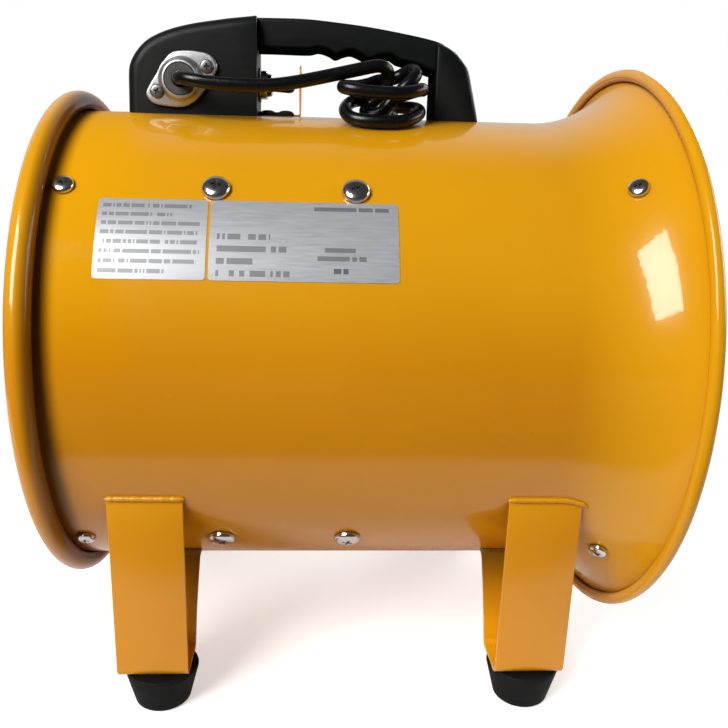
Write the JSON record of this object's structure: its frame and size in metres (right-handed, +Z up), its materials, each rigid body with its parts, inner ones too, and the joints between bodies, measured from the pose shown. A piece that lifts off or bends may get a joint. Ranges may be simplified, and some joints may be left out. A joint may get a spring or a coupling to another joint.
{
  "type": "portable axial utility blower",
  "caption": "Portable axial blower: sheet-metal barrel with curled outlet rim and flared inlet bell, guarded impeller and motor inside, strap feet, moulded handle with toggle switch and cord.",
  "frame": {"origin": "floor level under the middle of the overall box", "axes": "+Z up from the floor, +X along the fan axis towards the inlet bell, so -X is the outlet; -Y is the side with the foil plates and the cord entry"},
  "size_m": [0.3725, 0.3802, 0.4304],
  "materials": {
    "yellow_paint": "gloss powder coat",
    "black_wire_coat": "satin dip coat",
    "black_handle_plastic": "fine moulded grain",
    "black_rubber": "matt",
    "bright_zinc": "bright zinc plate",
    "cast_alloy": "as cast, tumbled",
    "machined_steel": "ground",
    "motor_enamel": "satin enamel",
    "copper_winding": "varnished wire",
    "silver_foil": "blank satin foil",
    "impeller_aluminium": "plain sheet and casting",
    "cord_jacket": "satin"
  },
  "bodies": {
    "blower": {"barrel_shell": "yellow_paint", "guard_screw_outlet_1": "bright_zinc", "guard_screw_inlet_1": "bright_zinc", "strut_screw_1a": "bright_zinc", "strut_screw_1b": "bright_zinc", "motor_strut_1": "yellow_paint", "foot_bracket_1": "yellow_paint", "rubber_foot_1": "black_rubber", "guard_screw_outlet_2": "bright_zinc", "guard_screw_inlet_2": "bright_zinc", "strut_screw_2a": "bright_zinc", "strut_screw_2b": "bright_zinc", "motor_strut_2": "yellow_paint", "foot_bracket_2": "yellow_paint", "rubber_foot_2": "black_rubber", "guard_screw_outlet_3": "bright_zinc", "guard_screw_inlet_3": "bright_zinc", "strut_screw_3a": "bright_zinc", "strut_screw_3b": "bright_zinc", "motor_strut_3": "yellow_paint", "foot_bracket_3": "yellow_paint", "rubber_foot_3": "black_rubber", "guard_screw_outlet_4": "bright_zinc", "guard_screw_inlet_4": "bright_zinc", "strut_screw_4a": "bright_zinc", "strut_screw_4b": "bright_zinc", "motor_strut_4": "yellow_paint", "foot_bracket_4": "yellow_paint", "rubber_foot_4": "black_rubber", "outlet_guard": "black_wire_coat", "inlet_guard": "black_wire_coat", "motor_casing": "motor_enamel", "motor_cover_rear": "motor_enamel", "motor_cover_front": "motor_enamel", "stator_winding": "copper_winding", "bearing_front_outer": "machined_steel", "bearing_rear_outer": "machined_steel", "carry_handle": "black_handle_plastic", "handle_screw_1": "black_handle_plastic", "handle_screw_2": "black_handle_plastic", "toggle_guard": "yellow_paint", "cord_clamp_plate": "cast_alloy", "clamp_screw_1": "bright_zinc", "clamp_screw_2": "bright_zinc", "cord_bushing": "black_rubber", "power_cord": "cord_jacket", "power_plug": "cord_jacket", "switch_body": "motor_enamel", "on_off_plate": "silver_foil", "boot_nut": "bright_zinc", "foil_plate_small": "silver_foil", "foil_plate_large": "silver_foil"},
    "rotor": {"impeller": "impeller_aluminium", "impeller_nut": "bright_zinc", "motor_shaft": "machined_steel", "rotor_core": "machined_steel", "bearing_front_inner": "machined_steel", "bearing_rear_inner": "machined_steel"},
    "toggle": {"toggle_lever": "bright_zinc", "toggle_boot": "black_rubber"}
  },
  "joints": [
    {"name": "rotor_spin", "type": "hinge", "parent": "blower", "child": "rotor", "pos_m": [0, 0, 0.216], "axis": [1, 0, 0], "continuous": true},
    {"name": "toggle_throw", "type": "hinge", "parent": "blower", "child": "toggle", "pos_m": [-0.05935, 0, 0.39], "axis": [0, 0, -1], "range_deg": [0, 24]}
  ]
}
